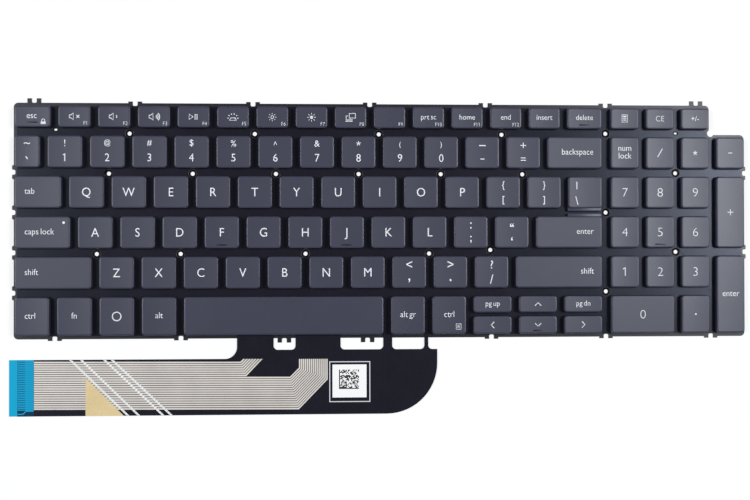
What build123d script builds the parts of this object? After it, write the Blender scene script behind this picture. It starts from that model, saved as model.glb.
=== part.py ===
from build123d import *
import math
import os

# Replacement keyboard for a 15-inch laptop, in millimetres.
# X runs along the key rows, Y towards the function row and Z up through the caps.
# The origin is the middle of the support plate's underside.

# Key field: a cell is a cap and the gap after it
KEY_PITCH_X = 18.70
KEY_PITCH_Y = 18.05
CAP_GAP_X = 3.45
CAP_GAP_Y = 3.80
ESCAPE_CELL = 19.2
BACKQUOTE_CELL = 14.5
BACKSPACE_CELL = 28.3
TAB_CELL = 24.0
CAPS_LOCK_CELL = 27.9
LEFT_SHIFT_CELL = 37.3
SPACE_CELL = 92.8
KEYPAD_PITCH_X = 16.25
KEYPAD_SPACE = 0.8
FUNCTION_CAP_Y = 9.4
BOTTOM_CAP_Y = 17.0
UPPER_HALF_CAP_Y = 7.4
HALF_CAP_GAP_Y = 1.7

# Caps: hollow mouldings with drafted sides
CAP_HEIGHT = 2.0
CAP_ROOF = 0.9
CAP_WALL = 0.9
CAP_DRAFT = 0.35
CAP_CORNER_CUT = 0.9
CAP_TRAVEL = 1.4
PRESSED_CLEARANCE = 0.2
LEDGE_REACH = 1.0
LEDGE_THICKNESS = 0.8
LENS_DIAMETER = 1.1
LENS_SIDES = 8
LENS_CLEARANCE = 0.05
LENS_INSET = 2.8

# Support plate: stamped sheet steel
PLATE_THICKNESS = 0.5
PLATE_MARGIN_X = 1.2
PLATE_MARGIN_Y = 1.8
PLATE_STEP_MARGIN = 1.5
PLATE_CORNER = 2.0
RIVET_HOLE_DIAMETER = 1.85
RIVET_SHIFT_Y = 0.6
RAISED_RIVET_LIFT = 1.6
BLOCK_EDGE_SHIFT_X = 0.5
NOTCH_WIDTH = 2.15
NOTCH_DEPTH = 1.2
SIDE_NOTCH_DEPTH = 0.7
NOTCH_CORNER_CUT = 0.4
EAR_WIDTH = 2.0
EAR_REACH = 0.75
TALL_EAR_REACH = 2.0
KEYPAD_EAR_SHIFT_X = 1.6

# Membrane sheet and its tail, from the plate's middle and its front edge
FILM_THICKNESS = 0.3
FILM_INSET = 1.5
FILM_HOLE_DIAMETER = 3.6
TAIL_END_X = 164.2
NECK_LEFT_X = 66.6
NECK_RIGHT_X = 24.0
TAIL_TOP_DROP = 9.2
TAIL_WIDTH = 25.2
NECK_FILLET = 5.4
TAIL_ELBOW = 23.0
WINDOW_DROP = 5.2
WINDOW_FILLET = 1.8
NECK_WINDOWS = [(-50.1, -40.3), (-19.9, -0.6), (3.5, 18.1)]
OPEN_NOTCH_X = 19.9

# Pieces glued to the tail
STIFFENER_LENGTH = 11.0
STIFFENER_REACH = 3.8
STIFFENER_THICKNESS = 0.2
LABEL_THICKNESS = 0.1
LABEL_X = 15.4
LABEL_Y = 14.9
LABEL_LEFT_X = 23.6
LABEL_RISE = 2.35
PAD_FROM_END = 30.1
PAD_LEG = 17.0

# Lifting parts under the caps
SEAT_CLEARANCE = 0.05
DOME_SIDES = 5
DOME_BASE_RADIUS = 2.7
DOME_TOP_RADIUS = 1.6
LINK_LENGTH = 9.6
LINK_WIDTH = 10.6
LINK_THICKNESS = 0.7
LINK_ARM = 1.1
LINK_BAR = 1.3
LINK_SIDE_CLEARANCE = 0.25
WIRE_LENGTH = 8.5
WIRE_THICKNESS = 0.7
WIRE_END_INSET = 3.0
WIRE_EDGE_CLEARANCE = 0.5

# Heights of the stack
FILM_TOP = PLATE_THICKNESS + FILM_THICKNESS
SKIRT_Z = FILM_TOP + CAP_TRAVEL + PRESSED_CLEARANCE
ROOF_Z = SKIRT_Z + CAP_HEIGHT - CAP_ROOF
LIFT_HEIGHT = ROOF_Z - FILM_TOP

# Key names by row, from the back row to the front one
FUNCTION_ROW = ["esc"] + [f"f{n}" for n in range(1, 13)] + ["insert", "delete"]
NUMBER_ROW = ["backquote"] + list("1234567890") + ["minus", "equals", "backspace"]
UPPER_ROW = ["tab"] + list("qwertyuiop") + ["left_bracket", "right_bracket", "backslash"]
HOME_ROW = ["caps_lock"] + list("asdfghjkl") + ["semicolon", "quote", "enter"]
LOWER_ROW = ["left_shift"] + list("zxcvbnm") + ["comma", "period", "slash", "right_shift"]
BOTTOM_ROW = ["left_ctrl", "fn", "system", "left_alt", "space", "alt_gr", "right_ctrl"]
UPPER_HALVES = ["page_up", "arrow_up", "page_down"]
LOWER_HALVES = ["arrow_left", "arrow_down", "arrow_right"]
KEYPAD_ROWS = [
    ["calculator", "clear_entry", "plus_minus"],
    ["num_lock", "pad_divide", "pad_multiply", "pad_minus"],
    ["pad_7", "pad_8", "pad_9"],
    ["pad_4", "pad_5", "pad_6"],
    ["pad_1", "pad_2", "pad_3"],
]
SYMBOLS = ["backquote", "minus", "equals", "left_bracket", "right_bracket", "backslash",
           "semicolon", "quote", "comma", "period", "slash", "fn", "system", "right_ctrl"]
WIRED = ["backspace", "caps_lock", "enter", "left_shift", "right_shift", "space", "pad_0"]

# Row places: the front and back edge of each row's caps, from the front of the field
LETTER_CAP_Y = KEY_PITCH_Y - CAP_GAP_Y
BLOCK_X = BACKQUOTE_CELL + 12 * KEY_PITCH_X + BACKSPACE_CELL
FIELD_X = BLOCK_X + KEYPAD_SPACE + 4 * KEYPAD_PITCH_X - CAP_GAP_X
FIELD_Y = BOTTOM_CAP_Y + CAP_GAP_Y + 4 * KEY_PITCH_Y + FUNCTION_CAP_Y
FIELD_LEFT = -FIELD_X / 2
FIELD_FRONT = -FIELD_Y / 2
LETTER_FRONT = FIELD_FRONT + BOTTOM_CAP_Y + CAP_GAP_Y
ROW_FRONTS = {
    "function": LETTER_FRONT + 4 * KEY_PITCH_Y,
    "number": LETTER_FRONT + 3 * KEY_PITCH_Y,
    "upper": LETTER_FRONT + 2 * KEY_PITCH_Y,
    "home": LETTER_FRONT + KEY_PITCH_Y,
    "lower": LETTER_FRONT,
    "bottom": FIELD_FRONT,
}
PLATE_X = FIELD_X + 2 * PLATE_MARGIN_X
PLATE_Y = FIELD_Y + 2 * PLATE_MARGIN_Y
PLATE_FRONT = -PLATE_Y / 2

# Each key's cap top: left, front, width and depth
keys = {}


def lay_row(names, row, cells, left=FIELD_LEFT, depth=LETTER_CAP_Y):
    for name, cell in zip(names, cells):
        keys[name] = (left, ROW_FRONTS[row], cell - CAP_GAP_X, depth)
        left += cell


def lay_letters(names, row, first_cell):
    """A row of letter keys whose last key fills the block's width."""
    middle = [KEY_PITCH_X] * (len(names) - 2)
    last_cell = BLOCK_X - first_cell - sum(middle)
    lay_row(names, row, [first_cell, *middle, last_cell])


def lay_keys():
    function_pitch = (BLOCK_X - 2 * ESCAPE_CELL) / 13
    function_cells = [ESCAPE_CELL, *[function_pitch] * 13, ESCAPE_CELL]
    lay_row(FUNCTION_ROW, "function", function_cells, depth=FUNCTION_CAP_Y)
    lay_letters(NUMBER_ROW, "number", BACKQUOTE_CELL)
    lay_letters(UPPER_ROW, "upper", TAB_CELL)
    lay_letters(HOME_ROW, "home", CAPS_LOCK_CELL)
    lay_letters(LOWER_ROW, "lower", LEFT_SHIFT_CELL)
    bottom_cells = [KEY_PITCH_X] * 4 + [SPACE_CELL] + [KEY_PITCH_X] * 2
    lay_row(BOTTOM_ROW, "bottom", bottom_cells, depth=BOTTOM_CAP_Y)
    half_left = FIELD_LEFT + sum(bottom_cells)
    half_cells = [(BLOCK_X - sum(bottom_cells)) / 3] * 3
    lower_half_y = BOTTOM_CAP_Y - UPPER_HALF_CAP_Y - HALF_CAP_GAP_Y
    lay_row(LOWER_HALVES, "bottom", half_cells, half_left, lower_half_y)
    lay_row(UPPER_HALVES, "bottom", half_cells, half_left, UPPER_HALF_CAP_Y)
    for name in UPPER_HALVES:
        left, front, width, depth = keys[name]
        keys[name] = (left, front + BOTTOM_CAP_Y - UPPER_HALF_CAP_Y, width, depth)


def lay_keypad():
    pad_left = FIELD_LEFT + BLOCK_X + KEYPAD_SPACE
    last_left = pad_left + 3 * KEYPAD_PITCH_X
    tall_y = 2 * KEY_PITCH_Y - CAP_GAP_Y
    for row, names in zip(ROW_FRONTS, KEYPAD_ROWS):
        depth = FUNCTION_CAP_Y if row == "function" else LETTER_CAP_Y
        lay_row(names, row, [KEYPAD_PITCH_X] * 4, pad_left, depth)
    lay_row(["pad_plus"], "home", [KEYPAD_PITCH_X], last_left, tall_y)
    front_tall_y = KEY_PITCH_Y + BOTTOM_CAP_Y
    lay_row(["pad_enter"], "bottom", [KEYPAD_PITCH_X], last_left, front_tall_y)
    bottom_cells = [2 * KEYPAD_PITCH_X, KEYPAD_PITCH_X]
    lay_row(["pad_0", "pad_point"], "bottom", bottom_cells, pad_left, BOTTOM_CAP_Y)


lay_keys()
lay_keypad()
KEYPAD_KEYS = [name for row in KEYPAD_ROWS[1:] for name in row]
KEYPAD_KEYS += ["pad_plus", "pad_enter", "pad_0", "pad_point"]
GROUPS = {
    "function_row_caps": FUNCTION_ROW + KEYPAD_ROWS[0],
    "symbol_caps": SYMBOLS,
    "navigation_caps": UPPER_HALVES + LOWER_HALVES,
    "keypad_caps": KEYPAD_KEYS,
}
GROUPED = [name for names in GROUPS.values() for name in names]
SPRUNG = [name for name in keys if name not in GROUPED]


def middle_of(name):
    left, front, width, depth = keys[name]
    return left + width / 2, front + depth / 2


def gap_after(name):
    """Middle of the gap to the right of a key."""
    left, _, width, _ = keys[name]
    return left + width + CAP_GAP_X / 2


def block_edge():
    """Middle of the wider gap between the main block and the keypad."""
    return FIELD_LEFT + BLOCK_X + (KEYPAD_SPACE - CAP_GAP_X) / 2 + BLOCK_EDGE_SHIFT_X


def plane_solid(profile, thickness, z):
    return extrude(Pos(0, 0, z) * profile, thickness)


def span_rectangle(left, right, front, back):
    return Pos((left + right) / 2, (front + back) / 2) * Rectangle(right - left, back - front)


def cut_corner_rectangle(width, depth, cut):
    x, y = width / 2, depth / 2
    corners = [(x, y - cut), (x - cut, y), (cut - x, y), (-x, y - cut)]
    corners += [(-px, -py) for px, py in corners]
    return make_face(Polyline(*corners, close=True))


# Caps
def key_cap(name):
    left, front, width, depth = keys[name]
    skirt = cut_corner_rectangle(width + 2 * CAP_DRAFT, depth + 2 * CAP_DRAFT, CAP_CORNER_CUT)
    taper = math.degrees(math.atan2(CAP_DRAFT, CAP_HEIGHT))
    cap = extrude(skirt, CAP_HEIGHT, taper=taper)
    pocket = Rectangle(width - 2 * CAP_WALL, depth - 2 * CAP_WALL)
    cap = cap - extrude(pocket, CAP_HEIGHT - CAP_ROOF)
    x, y = middle_of(name)
    cap = Pos(x, y, SKIRT_Z) * cap
    if name == "backslash":
        cap = cap + ledge(left, left + width, front, -1)
    if name == "enter":
        ledge_left = keys["backslash"][0]
        cap = cap + ledge(ledge_left, left + width, front + depth, 1)
    if name == "caps_lock":
        hole = RegularPolygon(LENS_DIAMETER / 2 + LENS_CLEARANCE, LENS_SIDES)
        cap = cap - plane_solid(Pos(*lens_place()) * hole, CAP_ROOF, ROOF_Z)
    return cap


def ledge(left, right, edge, side):
    """Low flange along a cap's front (side -1) or back (side 1) edge."""
    near = edge - side * CAP_WALL
    far = edge + side * (CAP_DRAFT + LEDGE_REACH)
    flange = span_rectangle(left, right, min(near, far), max(near, far))
    return plane_solid(flange, LEDGE_THICKNESS, SKIRT_Z)


def lens_place():
    left, front, width, depth = keys["caps_lock"]
    return left + width - LENS_INSET, front + depth - LENS_INSET


def caps_lock_lens():
    return plane_solid(Pos(*lens_place()) * RegularPolygon(LENS_DIAMETER / 2, LENS_SIDES), CAP_ROOF, ROOF_Z)


# Lifting parts
def rubber_dome(name):
    height = LIFT_HEIGHT - SEAT_CLEARANCE
    inset = (DOME_BASE_RADIUS - DOME_TOP_RADIUS) * math.cos(math.pi / DOME_SIDES)
    taper = math.degrees(math.atan2(inset, height))
    dome = extrude(RegularPolygon(DOME_BASE_RADIUS, DOME_SIDES), height, taper=taper)
    return Pos(*middle_of(name), FILM_TOP) * dome


def tilted_yoke(width, length, arm, bar, thickness):
    """Flat U, open to the back, tilted to reach from the film to the cap's roof."""
    opening = span_rectangle(arm - width / 2, width / 2 - arm, bar - length / 2, length / 2)
    yoke = plane_solid(Rectangle(width, length) - opening, thickness, -thickness / 2)
    reach = LIFT_HEIGHT / 2 - SEAT_CLEARANCE
    tilt = math.asin(reach / math.hypot(length / 2, thickness / 2))
    tilt -= math.atan2(thickness, length)
    return Rot(math.degrees(tilt), 0, 0) * yoke


def link_pair(name):
    """Outer and inner link of a scissor, crossing at mid-height."""
    outer = tilted_yoke(LINK_WIDTH, LINK_LENGTH, LINK_ARM, LINK_BAR, LINK_THICKNESS)
    inner_width = LINK_WIDTH - 2 * LINK_ARM - 2 * LINK_SIDE_CLEARANCE
    inner = tilted_yoke(inner_width, LINK_LENGTH, LINK_ARM, LINK_BAR, LINK_THICKNESS)
    place = Pos(*middle_of(name), FILM_TOP + LIFT_HEIGHT / 2)
    return place * outer, place * Rot(0, 0, 180) * inner


def stabiliser_wire(name):
    """Bent wire with its long bar under the cap's front edge and its feet behind."""
    _, front, width, _ = keys[name]
    span = width - 2 * WIRE_END_INSET
    wire = tilted_yoke(span, WIRE_LENGTH, WIRE_THICKNESS, WIRE_THICKNESS, WIRE_THICKNESS)
    x, _ = middle_of(name)
    y = front + CAP_WALL + WIRE_EDGE_CLEARANCE + WIRE_LENGTH / 2
    return Pos(x, y, FILM_TOP + LIFT_HEIGHT / 2) * Rot(0, 180, 0) * wire


# Support plate
def plate_blank():
    """Plate's plain outline, stepped at the back right above the number row."""
    left, _, width, _ = keys["plus_minus"]
    step_x = left + width + PLATE_MARGIN_X
    step_y = ROW_FRONTS["number"] + LETTER_CAP_Y + PLATE_STEP_MARGIN
    return Rectangle(PLATE_X, PLATE_Y) - span_rectangle(step_x, PLATE_X, step_y, PLATE_Y)


def row_gap(row):
    """Middle of the gap in front of a row."""
    return ROW_FRONTS[row] - CAP_GAP_Y / 2


def rivet_places():
    """Rivet holes, each in the gap in front of a row and beside a key."""
    letters = {
        "function": ["2", "5", "8", "minus"],
        "number": ["q", "e", "t", "u", "o", "left_bracket"],
        "home": ["left_shift", "x", "b", "comma"],
    }
    raised = {"function": "esc", "home": "semicolon"}
    keypad = {"function": "pad_divide", "number": "pad_8", "home": "pad_5"}
    places = [(gap_after(name), row_gap(row) - RIVET_SHIFT_Y)
              for row, names in letters.items() for name in names]
    places += [(gap_after(name), row_gap(row) - RIVET_SHIFT_Y + RAISED_RIVET_LIFT)
               for row, name in raised.items()]
    places += [(gap_after(name), row_gap(row)) for row, name in keypad.items()]
    places += [(block_edge(), row_gap(row)) for row in ("function", "upper", "lower")]
    return places


def edge_notches():
    """Place, outward direction, notch depth and ear reach along the plate's edge."""
    back = PLATE_Y / 2
    side = PLATE_X / 2
    back_x = [gap_after(name) for name in ("f2", "f5", "f8", "f11")] + [block_edge()]
    front_x = [gap_after(name) for name in ("left_ctrl", "left_alt", "pad_point")]
    front_x += [middle_of("page_up")[0], block_edge()]
    notches = [(x, back, 90, NOTCH_DEPTH, EAR_REACH) for x in back_x]
    notches += [(x, PLATE_FRONT, -90, NOTCH_DEPTH, EAR_REACH) for x in front_x]
    tall_back_x = [middle_of("esc")[0], middle_of("plus_minus")[0] + KEYPAD_EAR_SHIFT_X]
    notches += [(x, back, 90, 0, TALL_EAR_REACH) for x in tall_back_x]
    notches += [(middle_of(name)[0], PLATE_FRONT, -90, 0, TALL_EAR_REACH) for name in ("space", "m")]
    notches += [(-side, row_gap(row), 180, SIDE_NOTCH_DEPTH, EAR_REACH)
                for row in ("number", "upper", "home", "lower")]
    notches += [(side, row_gap(row), 0, SIDE_NOTCH_DEPTH, EAR_REACH) for row in ("number", "home")]
    return notches


def notch_profile(depth, reach):
    """Notch open to +X, with its inner corners cut."""
    half = NOTCH_WIDTH / 2
    cut = NOTCH_CORNER_CUT
    inner = [(-depth, half - cut), (-depth, cut - half)]
    outer = [(cut - depth, -half), (reach, -half), (reach, half), (cut - depth, half)]
    return make_face(Polyline(*inner, *outer, close=True))


def notched(profile):
    for x, y, turn, depth, reach in edge_notches():
        place = Pos(x, y) * Rot(0, 0, turn)
        outer = NOTCH_WIDTH / 2 + EAR_WIDTH
        profile = profile + place * span_rectangle(-NOTCH_DEPTH, reach, -outer, outer)
        profile = profile - place * notch_profile(depth, reach)
    return profile


def support_plate():
    holes = [Pos(*place) * Circle(RIVET_HOLE_DIAMETER / 2) for place in rivet_places()]
    blank = plate_blank()
    rounded = fillet(blank.vertices(), PLATE_CORNER)
    return plane_solid(notched(rounded) - holes, PLATE_THICKNESS, 0)


# Membrane sheet with its tail
def tail_profile():
    top = PLATE_FRONT - TAIL_TOP_DROP
    bottom = top - TAIL_WIDTH
    root = PLATE_FRONT + FILM_INSET
    strip = span_rectangle(-TAIL_END_X, NECK_RIGHT_X, bottom, top)
    profile = strip + span_rectangle(-NECK_LEFT_X, NECK_RIGHT_X, bottom, root)
    elbow = profile.vertices().sort_by_distance((NECK_RIGHT_X, bottom))[0]
    profile = fillet(elbow, TAIL_ELBOW)
    inner = profile.vertices().sort_by_distance((-NECK_LEFT_X, top))[0]
    profile = fillet(inner, NECK_FILLET)
    sill = PLATE_FRONT - WINDOW_DROP
    for left, right in NECK_WINDOWS:
        window = span_rectangle(left, right, sill, root)
        window = fillet(window.vertices().sort_by(Axis.Y)[:2], WINDOW_FILLET)
        profile = profile - window
    notch = span_rectangle(OPEN_NOTCH_X, NECK_RIGHT_X, sill, root)
    inner = notch.vertices().sort_by_distance((OPEN_NOTCH_X, sill))[0]
    return profile - fillet(inner, WINDOW_FILLET)


def membrane_sheet():
    sheet = offset(plate_blank(), -FILM_INSET, kind=Kind.INTERSECTION)
    clearance = RegularPolygon(FILM_HOLE_DIAMETER / 2, 6, major_radius=False)
    holes = [Pos(*place) * clearance for place in rivet_places()]
    return plane_solid(sheet - holes + tail_profile(), FILM_THICKNESS, PLATE_THICKNESS)


def tail_stiffener():
    left = -TAIL_END_X - STIFFENER_REACH
    top = PLATE_FRONT - TAIL_TOP_DROP
    strip = span_rectangle(left, left + STIFFENER_LENGTH, top - TAIL_WIDTH, top)
    return plane_solid(strip, STIFFENER_THICKNESS, PLATE_THICKNESS - STIFFENER_THICKNESS)


def code_label():
    x = LABEL_X / 2 - LABEL_LEFT_X
    y = PLATE_FRONT - TAIL_TOP_DROP - TAIL_WIDTH / 2 + LABEL_RISE
    return plane_solid(Pos(x, y) * Rectangle(LABEL_X, LABEL_Y), LABEL_THICKNESS, FILM_TOP)


def adhesive_pad():
    bottom = PLATE_FRONT - TAIL_TOP_DROP - TAIL_WIDTH
    left = PAD_FROM_END - TAIL_END_X
    corners = [(left, bottom), (left + PAD_LEG, bottom), (left, bottom + PAD_LEG)]
    return plane_solid(make_face(Polyline(*corners, close=True)), LABEL_THICKNESS, FILM_TOP)


def write(node, solids):
    export_step(Compound(children=list(solids), label=node), f"parts/{node}.step")


os.makedirs("parts", exist_ok=True)
write("support_plate", support_plate().solids())
write("membrane_sheet", membrane_sheet().solids())
write("tail_stiffener", tail_stiffener().solids())
write("code_label", code_label().solids())
write("adhesive_pad", adhesive_pad().solids())
write("caps_lock_lens", caps_lock_lens().solids())
write("rubber_domes", [rubber_dome(name).solid() for name in keys])
links = [link_pair(name) for name in SPRUNG]
write("outer_scissor_links", [outer.solid() for outer, _ in links])
write("inner_scissor_links", [inner.solid() for _, inner in links])
write("stabiliser_wires", [stabiliser_wire(name).solid() for name in WIRED])
for group, names in GROUPS.items():
    write(group, [key_cap(name).solid() for name in names])
for name in SPRUNG:
    write(f"key_{name}", [key_cap(name).solid()])
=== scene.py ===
import math
import random
import bmesh
import bpy
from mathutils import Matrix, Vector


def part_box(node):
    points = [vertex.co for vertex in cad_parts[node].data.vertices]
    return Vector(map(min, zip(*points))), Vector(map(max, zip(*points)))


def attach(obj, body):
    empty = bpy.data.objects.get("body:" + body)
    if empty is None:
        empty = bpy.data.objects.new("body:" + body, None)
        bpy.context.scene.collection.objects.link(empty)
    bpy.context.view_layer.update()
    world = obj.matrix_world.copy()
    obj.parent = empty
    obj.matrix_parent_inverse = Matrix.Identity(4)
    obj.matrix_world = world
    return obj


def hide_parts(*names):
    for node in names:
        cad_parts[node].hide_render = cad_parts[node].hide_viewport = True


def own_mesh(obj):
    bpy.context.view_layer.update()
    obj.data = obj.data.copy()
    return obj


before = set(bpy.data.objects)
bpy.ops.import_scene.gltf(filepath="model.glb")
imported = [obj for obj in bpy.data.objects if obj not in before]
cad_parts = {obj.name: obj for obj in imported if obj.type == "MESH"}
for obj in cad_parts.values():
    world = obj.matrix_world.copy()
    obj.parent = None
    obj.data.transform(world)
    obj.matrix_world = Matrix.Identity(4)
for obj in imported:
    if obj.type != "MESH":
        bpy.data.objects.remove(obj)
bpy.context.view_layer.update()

# Support plate
# The base of the keyboard: half-millimetre sheet steel, stamped with rivet holes, edge notches
# and pairs of ears, then painted satin black. The stamping leaves its edges slightly rounded.
mm = 0.001
NEAR = 0.01 * mm
PLATE_EDGE_ROUND = 0.07 * mm
SIDE_EAR_X = 165.9 * mm
SIDE_EAR_ROUND = 0.42 * mm
# Middle and radius, in millimetres, of the fillet in the plate's step and of the relief in its place
STEP_CORNER = (151.73, 41.5, 2.0)
STEP_RELIEF = (150.5, 40.2, 1.58)
RELIEF_TURNS = (119, 334)
# Rivet holes that are only half open, how far round them to reach, and the shares to draw them in to
HALF_HOLES = [(-147.4, 41.0), (134.3, 40.4)]
PLATE_HALF_HOLE = (1.7 * mm, 0.9, 0.55)
MOTTLES_PER_METRE = 90


def only(*objects):
    """Selects these objects alone; the last one is active."""
    for each in bpy.context.selected_objects:
        each.select_set(False)
    for each in objects:
        each.select_set(True)
    bpy.context.view_layer.objects.active = objects[-1]


def choose(test, kind="FACE"):
    """In edit mode, selects the faces, edges or vertices that pass a test."""
    bpy.ops.mesh.select_mode(type=kind)
    bpy.ops.mesh.select_all(action="DESELECT")
    mesh = bpy.context.object.data
    form = bmesh.from_edit_mesh(mesh)
    form.normal_update()
    for item in {"FACE": form.faces, "EDGE": form.edges, "VERT": form.verts}[kind]:
        item.select = bool(test(item))
    form.select_flush_mode()
    bmesh.update_edit_mesh(mesh)


def bevel(test, offset, segments=2):
    """In edit mode, rounds the edges that pass a test."""
    choose(test, "EDGE")
    bpy.ops.mesh.bevel(offset=offset, segments=segments, affect="EDGES")


def extrude(x, y, z):
    """In edit mode, pulls the selected faces or edges out by a step."""
    bpy.ops.mesh.extrude_region_move(TRANSFORM_OT_translate={"value": (x, y, z)})


def middle(item):
    """Middle of a face or an edge."""
    if hasattr(item, "calc_center_median"):
        return item.calc_center_median()
    return (item.verts[0].co + item.verts[1].co) / 2


def upright(edge):
    return abs((edge.verts[1].co - edge.verts[0].co).normalized().z) > 0.99


def creased(edge, low, high=180):
    """True where an edge's two faces turn by an angle within these degrees."""
    return len(edge.link_faces) == 2 and low < math.degrees(edge.calc_face_angle(0)) < high


def new_object(name, data):
    """An object in the scene that holds this mesh, curve, lamp or camera."""
    item = bpy.data.objects.new(name, data)
    bpy.context.scene.collection.objects.link(item)
    return item


def copy_of_node(node, name):
    """A copy of a CAD node with its triangles merged into flat faces, left in edit mode."""
    piece = new_object(name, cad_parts[node].data.copy())
    piece.data.materials.clear()
    only(piece)
    bpy.ops.object.mode_set(mode="EDIT")
    bpy.ops.mesh.select_all(action="SELECT")
    bpy.ops.mesh.remove_doubles(threshold=0.001 * mm)
    bpy.ops.mesh.dissolve_limited(angle_limit=math.radians(1))
    return piece


def coated(piece, *materials, smooth=30):
    """Smooth shading and materials of a piece, or of a model before it is copied."""
    only(piece)
    bpy.ops.object.shade_smooth_by_angle(angle=math.radians(smooth))
    for each in materials:
        piece.data.materials.append(each)


def finish_piece(piece, body, slot, *materials, smooth=30):
    """Back to object mode: shading, materials and body. The slot argument is not used."""
    if bpy.context.object and bpy.context.object.mode == "EDIT":
        bpy.ops.object.mode_set(mode="OBJECT")
    coated(piece, *materials, smooth=smooth)
    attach(piece, body)


def math_node(tree, operation, *values):
    """The output of a new math node, whose inputs are constants or other nodes' outputs."""
    node = tree.nodes.new("ShaderNodeMath")
    node.operation = operation
    for socket, value in zip(node.inputs, values):
        if isinstance(value, bpy.types.NodeSocket):
            tree.links.new(value, socket)
        else:
            socket.default_value = value
    return node.outputs[0]


def fill(node, **values):
    """Sets a node's inputs; an underscore in a name stands for a space."""
    for label, value in values.items():
        node.inputs[label.replace("_", " ")].default_value = value


def grain_group():
    """Fine grain over a broad mottle in the piece's own space: a colour, a roughness and a height."""
    group = bpy.data.node_groups.new("surface_grain", "ShaderNodeTree")
    sockets = group.interface
    sockets.new_socket("Colour", in_out="INPUT", socket_type="NodeSocketColor")
    for label in ("Colour Spread", "Grains per Metre", "Roughness", "Roughness Spread"):
        sockets.new_socket(label, in_out="INPUT", socket_type="NodeSocketFloat")
    sockets.new_socket("Colour", in_out="OUTPUT", socket_type="NodeSocketColor")
    for label in ("Roughness", "Height"):
        sockets.new_socket(label, in_out="OUTPUT", socket_type="NodeSocketFloat")
    nodes, links = group.nodes, group.links
    entry = nodes.new("NodeGroupInput")
    leave = nodes.new("NodeGroupOutput")
    place = nodes.new("ShaderNodeTexCoord")
    fine = nodes.new("ShaderNodeTexNoise")
    fill(fine, Detail=3)
    links.new(entry.outputs["Grains per Metre"], fine.inputs["Scale"])
    broad = nodes.new("ShaderNodeTexNoise")
    fill(broad, Scale=MOTTLES_PER_METRE, Detail=4)
    for noise in (fine, broad):
        links.new(place.outputs["Object"], noise.inputs["Vector"])
    both = math_node(group, "ADD", fine.outputs["Fac"], broad.outputs["Fac"])
    swing = math_node(group, "SUBTRACT", both, 1)
    shade = math_node(group, "MULTIPLY_ADD", swing, entry.outputs["Colour Spread"], 1)
    tint = nodes.new("ShaderNodeHueSaturation")
    links.new(entry.outputs["Colour"], tint.inputs["Color"])
    links.new(shade, tint.inputs["Value"])
    rough = math_node(group, "MULTIPLY_ADD", swing, entry.outputs["Roughness Spread"],
                      entry.outputs["Roughness"])
    links.new(tint.outputs["Color"], leave.inputs["Colour"])
    links.new(rough, leave.inputs["Roughness"])
    links.new(fine.outputs["Fac"], leave.inputs["Height"])
    return group


surface_grain = grain_group()


def grained(name, colour, spread, per_metre, rough, rough_spread, relief, **constants):
    """A material whose colour, gloss and relief come from the surface grain."""
    finish = bpy.data.materials.new(name)
    finish.use_nodes = True
    nodes, links = finish.node_tree.nodes, finish.node_tree.links
    shader = nodes["Principled BSDF"]
    grain = nodes.new("ShaderNodeGroup")
    grain.name = "grain"
    grain.node_tree = surface_grain
    fill(grain, Colour=(*colour, 1), Colour_Spread=spread, Grains_per_Metre=per_metre, Roughness=rough,
         Roughness_Spread=rough_spread)
    bump = nodes.new("ShaderNodeBump")
    fill(bump, Strength=0.5, Distance=relief)
    links.new(grain.outputs["Height"], bump.inputs["Height"])
    links.new(bump.outputs["Normal"], shader.inputs["Normal"])
    links.new(grain.outputs["Colour"], shader.inputs["Base Color"])
    links.new(grain.outputs["Roughness"], shader.inputs["Roughness"])
    fill(shader, **constants)
    return finish


def relieve_step(piece):
    """Opens the rounded inner corner of the plate's step into a round relief."""
    x, y, radius = (size * mm for size in STEP_CORNER)
    form = bmesh.from_edit_mesh(piece.data)
    for vert in form.verts:
        across, along = vert.co.x - x, vert.co.y - y
        if max(across, along) < NEAR and math.hypot(across, along) < radius + NEAR:
            share = math.degrees(math.atan2(-along, -across)) / 90
            turn = math.radians(RELIEF_TURNS[0] + share * (RELIEF_TURNS[1] - RELIEF_TURNS[0]))
            vert.co.x = (STEP_RELIEF[0] + STEP_RELIEF[2] * math.cos(turn)) * mm
            vert.co.y = (STEP_RELIEF[1] + STEP_RELIEF[2] * math.sin(turn)) * mm
    bmesh.update_edit_mesh(piece.data)


def narrow_holes(reach, share_x, share_y):
    """Draws in the two rivet holes that are only half open."""
    for x, y in HALF_HOLES:
        choose(lambda v: math.hypot(v.co.x - x * mm, v.co.y - y * mm) < reach, "VERT")
        bpy.ops.transform.resize(value=(share_x, share_y, 1), center_override=(x * mm, y * mm, 0))


plate_paint = grained("plate_paint", (0.013, 0.013, 0.019), 0.5, 3500, 0.34, 0.15, 0.008 * mm,
                      Specular_IOR_Level=0.35)
plate = copy_of_node("support_plate", "plate")
relieve_step(plate)
bevel(lambda e: upright(e) and creased(e, 80) and abs(middle(e).x) > SIDE_EAR_X, SIDE_EAR_ROUND, 3)
bevel(lambda e: creased(e, 60) and not upright(e), PLATE_EDGE_ROUND)
narrow_holes(*PLATE_HALF_HOLE)
finish_piece(plate, "base", "plate_paint", plate_paint, smooth=10)
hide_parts("support_plate")

# Membrane sheet
# Printed polyester film laid on the plate, black all over, pressed down round a hole at each rivet.
# The grey round the top edge of each hole is a painted highlight, and the near-black of its wall is painted
# shade.
# Its tail leaves the front edge through a neck with windows and runs left.
FILM_TOP = 0.8 * mm
FILM_FOOT = 0.5 * mm
HOLE_CORNER_ROUND = 1.02 * mm
HOLE_RIM = 0.16 * mm
HOLE_SPAN = 4.3 * mm
HOLE_FOOT_SHARE = 0.58
HOLE_CORNER_REACH = 1.3 * mm
FILM_HALF_HOLE = (2.7 * mm, 0.68, 0.48)
FILM_EDGE_ROUND = 0.06 * mm

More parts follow.
